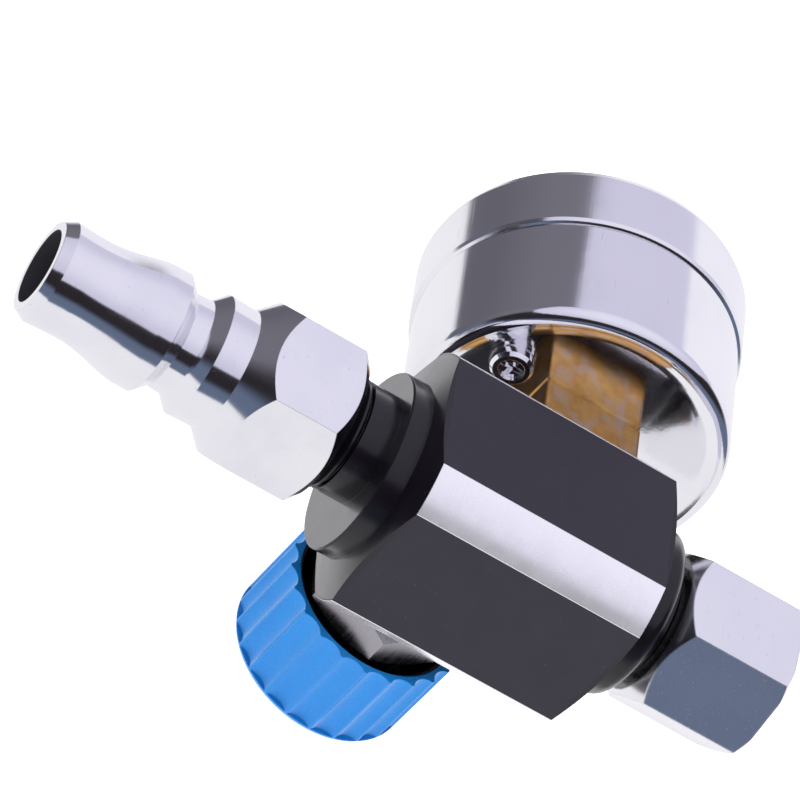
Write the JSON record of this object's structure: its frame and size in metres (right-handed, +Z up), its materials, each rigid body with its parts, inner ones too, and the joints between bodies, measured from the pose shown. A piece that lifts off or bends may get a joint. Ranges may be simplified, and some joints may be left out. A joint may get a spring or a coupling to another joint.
{
  "type": "air pressure regulator",
  "caption": "Inline air pressure regulator with a back-mounted gauge, a fluted adjusting knob, a quick-connect inlet plug and a swivel-nut outlet.",
  "frame": {"origin": "on the axis of the bar body, in the middle of the swivel nut's thread at the outlet", "axes": "+X along the body to the inlet plug, -Y out through the gauge's face, -Z out through the adjusting knob, so +Z is up with the knob below"},
  "size_m": [0.0938, 0.0571, 0.0478],
  "materials": {
    "anodised_aluminium": "matt black anodised, turned corners sheen",
    "chrome": "bright nickel and chrome plate",
    "steel": "turned, zinc plated",
    "brass": "raw, oxidised",
    "bronze": "drawn tube, satin",
    "blue_plastic": "moulded, semi-gloss",
    "black_plastic": "moulded, matt",
    "nylon": "punched sheet, matt",
    "black_rubber": "nitrile rubber",
    "dial_white": "white enamel, satin",
    "pointer_black": "black enamel",
    "clear_plastic": "clear moulded window"
  },
  "bodies": {
    "regulator_body": {"body": "anodised_aluminium", "inlet_plug": "chrome", "inlet_washer": "nylon", "outlet_nipple": "steel", "outlet_washer": "black_rubber", "valve_seat": "brass", "seat_o_ring": "black_rubber", "bonnet": "chrome", "main_spring": "steel", "valve_spring": "steel", "gauge_socket": "brass", "gauge_case": "chrome", "support_plate": "brass", "case_screws": "chrome", "gauge_bezel": "chrome", "gauge_lens": "clear_plastic", "lens_gasket": "black_rubber", "gauge_dial": "dial_white", "dial_screws": "steel", "stop_pin": "steel", "movement_plates": "brass", "dial_crossbar": "brass", "bourdon_tube": "bronze", "tube_tip": "brass"},
    "swivel_nut": {"outlet_nut": "chrome"},
    "spring_carriage": {"spring_seat": "steel"},
    "knob": {"adjusting_knob": "blue_plastic", "knob_core": "black_plastic", "adjusting_screw": "steel", "knob_screw": "steel"},
    "piston_group": {"piston": "brass", "piston_o_ring": "black_rubber"},
    "poppet_group": {"valve_poppet": "brass", "poppet_seal": "black_rubber"},
    "pointer": {"gauge_pointer": "pointer_black", "pointer_arbor": "steel"},
    "sector": {"sector_gear": "brass"},
    "link": {"link_arm": "brass"}
  },
  "joints": [
    {"name": "outlet_nut_swivel", "type": "hinge", "parent": "regulator_body", "child": "swivel_nut", "pos_m": [0.0055, 0, 0], "axis": [1, 0, 0], "continuous": true},
    {"name": "spring_seat_travel", "type": "slide", "parent": "regulator_body", "child": "spring_carriage", "axis": [0, 0, 1], "range_m": [0, 0.0036], "deforming": ["main_spring"]},
    {"name": "knob_turn", "type": "hinge", "parent": "spring_carriage", "child": "knob", "pos_m": [0.03525, 0, 0], "axis": [0, 0, 1], "range_deg": [0, 1260]},
    {"name": "piston_travel", "type": "slide", "parent": "regulator_body", "child": "piston_group", "axis": [0, 0, 1], "range_m": [0, 0.0008]},
    {"name": "poppet_travel", "type": "slide", "parent": "regulator_body", "child": "poppet_group", "axis": [0, 0, 1], "range_m": [0, 0.0008], "deforming": ["valve_spring"]},
    {"name": "pointer_turn", "type": "hinge", "parent": "regulator_body", "child": "pointer", "pos_m": [0.0239, 0, 0], "axis": [0, 1, 0], "range_deg": [0, 270]},
    {"name": "sector_turn", "type": "hinge", "parent": "regulator_body", "child": "sector", "pos_m": [0.0181, 0, 0.0027], "axis": [0, 1, 0], "range_deg": [-38.57, 0]},
    {"name": "link_swing", "type": "hinge", "parent": "sector", "child": "link", "pos_m": [0.01567, 0, 0.00508], "axis": [0, 1, 0], "range_deg": [0, 38.6]}
  ],
  "couplings": [
    {"joint": "spring_seat_travel", "follows": "knob_turn", "m_per_rad": 0.00015915},
    {"joint": "poppet_travel", "follows": "piston_travel", "ratio": 1},
    {"joint": "pointer_turn", "follows": "sector_turn", "ratio": -7},
    {"joint": "link_swing", "follows": "sector_turn", "ratio": -1}
  ]
}
